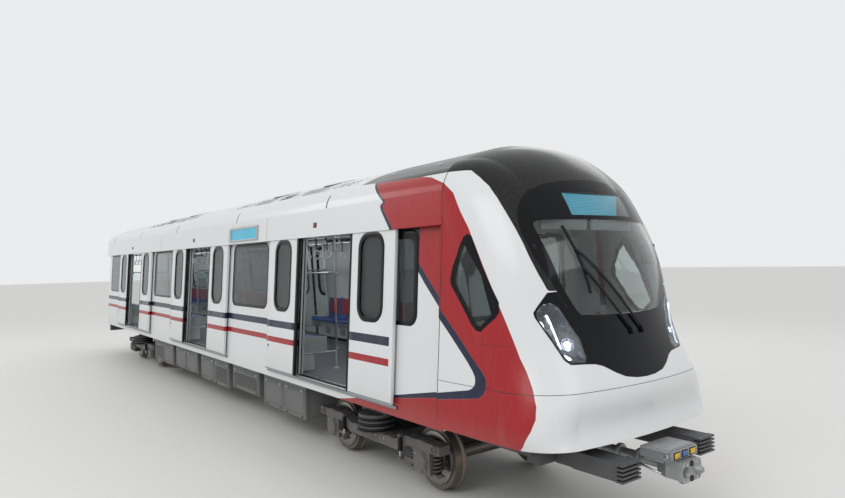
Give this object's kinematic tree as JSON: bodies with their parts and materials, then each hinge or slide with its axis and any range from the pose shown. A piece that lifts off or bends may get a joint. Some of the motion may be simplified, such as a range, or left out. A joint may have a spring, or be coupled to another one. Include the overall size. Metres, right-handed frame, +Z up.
{
  "type": "metro car",
  "caption": "End car of a light metro train with a rounded cab, external sliding doors, two powered bogies, a front coupler and a rear gangway",
  "frame": {"origin": "middle of the bounding box, at the bottom of the wheel flanges", "axes": "+X forward through the cab, +Y to the car's left side, +Z up"},
  "size_m": [18.7, 2.7798, 3.8378],
  "materials": {
    "bellows": "grey folded rubber",
    "black_gloss": "gloss black",
    "black_matt": "matt black",
    "body_white": "gloss white paint with red and navy bands",
    "coupler_silver": "silver paint",
    "desk": "dark desk moulding",
    "display": "dark display glass",
    "door_leaf": "gloss white door leaf with a window and a rubber edge",
    "floor_vinyl": "grey vinyl floor",
    "frame_grey": "dark grey frame paint",
    "glass": "tinted safety glass",
    "lamp": "clear lamp cover",
    "lining": "pale lining panels",
    "seat": "moulded seat",
    "steel": "brushed stainless tube",
    "track": "extruded rail",
    "wheel_steel": "rolled wheel steel"
  },
  "bodies": {
    "car": {"air_tanks": "frame_grey", "anti_climbers": "frame_grey", "benches": "seat", "bolsters": "frame_grey", "cab_bulkhead": "lining", "cab_desk": "desk", "cab_header": "black_matt", "cab_ring": "body_white", "cab_shell": "body_white", "cab_side_windows": "glass", "cantrail_covers": "body_white", "ceiling": "lining", "coupler_mount": "frame_grey", "displays": "display", "door_tracks": "track", "draught_screens": "glass", "driver_seat": "seat", "end_beams": "frame_grey", "equipment_boxes": "frame_grey", "floor": "floor_vinyl", "front_mask": "black_gloss", "gangway_bellows": "bellows", "grab_rails": "steel", "headlamps": "lamp", "light_strips": "lamp", "nose_skirt": "body_white", "rear_drawbar": "frame_grey", "rear_end_wall": "lining", "roof_shell": "body_white", "roof_units": "frame_grey", "side_sills": "frame_grey", "side_wall_left": "body_white", "side_wall_right": "body_white", "side_windows": "glass", "windscreen": "glass", "wiper": "black_matt"},
    "door_right_1_front": {"door_right_1_front": "door_leaf"},
    "door_right_1_rear": {"door_right_1_rear": "door_leaf"},
    "door_right_2_front": {"door_right_2_front": "door_leaf"},
    "door_right_2_rear": {"door_right_2_rear": "door_leaf"},
    "door_right_3_front": {"door_right_3_front": "door_leaf"},
    "door_right_3_rear": {"door_right_3_rear": "door_leaf"},
    "door_left_1_front": {"door_left_1_front": "door_leaf"},
    "door_left_1_rear": {"door_left_1_rear": "door_leaf"},
    "door_left_2_front": {"door_left_2_front": "door_leaf"},
    "door_left_2_rear": {"door_left_2_rear": "door_leaf"},
    "door_left_3_front": {"door_left_3_front": "door_leaf"},
    "door_left_3_rear": {"door_left_3_rear": "door_leaf"},
    "bogie_1": {"bogie_1": "frame_grey"},
    "wheelset_1_rear": {"wheelset_1_rear": "wheel_steel"},
    "wheelset_1_front": {"wheelset_1_front": "wheel_steel"},
    "bogie_2": {"bogie_2": "frame_grey"},
    "wheelset_2_rear": {"wheelset_2_rear": "wheel_steel"},
    "wheelset_2_front": {"wheelset_2_front": "wheel_steel"},
    "coupler": {"coupler": "coupler_silver"}
  },
  "joints": [
    {"name": "door_right_1_front_slide", "type": "slide", "parent": "car", "child": "door_right_1_front", "axis": [1, 0, 0], "range_m": [-0.707, 0]},
    {"name": "door_right_1_rear_slide", "type": "slide", "parent": "car", "child": "door_right_1_rear", "axis": [1, 0, 0], "range_m": [0, 0.707]},
    {"name": "door_right_2_front_slide", "type": "slide", "parent": "car", "child": "door_right_2_front", "axis": [1, 0, 0], "range_m": [-0.707, 0]},
    {"name": "door_right_2_rear_slide", "type": "slide", "parent": "car", "child": "door_right_2_rear", "axis": [1, 0, 0], "range_m": [0, 0.707]},
    {"name": "door_right_3_front_slide", "type": "slide", "parent": "car", "child": "door_right_3_front", "axis": [1, 0, 0], "range_m": [-0.707, 0]},
    {"name": "door_right_3_rear_slide", "type": "slide", "parent": "car", "child": "door_right_3_rear", "axis": [1, 0, 0], "range_m": [0, 0.707]},
    {"name": "door_left_1_front_slide", "type": "slide", "parent": "car", "child": "door_left_1_front", "axis": [1, 0, 0], "range_m": [0, 0.707]},
    {"name": "door_left_1_rear_slide", "type": "slide", "parent": "car", "child": "door_left_1_rear", "axis": [1, 0, 0], "range_m": [-0.707, 0]},
    {"name": "door_left_2_front_slide", "type": "slide", "parent": "car", "child": "door_left_2_front", "axis": [1, 0, 0], "range_m": [0, 0.707]},
    {"name": "door_left_2_rear_slide", "type": "slide", "parent": "car", "child": "door_left_2_rear", "axis": [1, 0, 0], "range_m": [-0.707, 0]},
    {"name": "door_left_3_front_slide", "type": "slide", "parent": "car", "child": "door_left_3_front", "axis": [1, 0, 0], "range_m": [0, 0.707]},
    {"name": "door_left_3_rear_slide", "type": "slide", "parent": "car", "child": "door_left_3_rear", "axis": [1, 0, 0], "range_m": [-0.707, 0]},
    {"name": "bogie_1_swivel", "type": "hinge", "parent": "car", "child": "bogie_1", "pos_m": [-5.9, 0, 0.46], "axis": [0, 0, 1], "range_deg": [-4, 4]},
    {"name": "wheelset_1_rear_spin", "type": "hinge", "parent": "bogie_1", "child": "wheelset_1_rear", "pos_m": [-6.9, 0, 0.378], "axis": [0, 1, 0], "continuous": true},
    {"name": "wheelset_1_front_spin", "type": "hinge", "parent": "bogie_1", "child": "wheelset_1_front", "pos_m": [-4.9, 0, 0.378], "axis": [0, 1, 0], "continuous": true},
    {"name": "bogie_2_swivel", "type": "hinge", "parent": "car", "child": "bogie_2", "pos_m": [5.7, 0, 0.46], "axis": [0, 0, 1], "range_deg": [-4, 4]},
    {"name": "wheelset_2_rear_spin", "type": "hinge", "parent": "bogie_2", "child": "wheelset_2_rear", "pos_m": [4.7, 0, 0.378], "axis": [0, 1, 0], "continuous": true},
    {"name": "wheelset_2_front_spin", "type": "hinge", "parent": "bogie_2", "child": "wheelset_2_front", "pos_m": [6.7, 0, 0.378], "axis": [0, 1, 0], "continuous": true},
    {"name": "coupler_swing", "type": "hinge", "parent": "car", "child": "coupler", "pos_m": [8.33, 0, 0.7], "axis": [0, 0, 1], "range_deg": [-12, 12]}
  ],
  "couplings": [
    {"joint": "door_right_1_rear_slide", "follows": "door_right_1_front_slide", "ratio": -1},
    {"joint": "door_right_2_rear_slide", "follows": "door_right_2_front_slide", "ratio": -1},
    {"joint": "door_right_3_rear_slide", "follows": "door_right_3_front_slide", "ratio": -1},
    {"joint": "door_left_1_rear_slide", "follows": "door_left_1_front_slide", "ratio": -1},
    {"joint": "door_left_2_rear_slide", "follows": "door_left_2_front_slide", "ratio": -1},
    {"joint": "door_left_3_rear_slide", "follows": "door_left_3_front_slide", "ratio": -1}
  ]
}
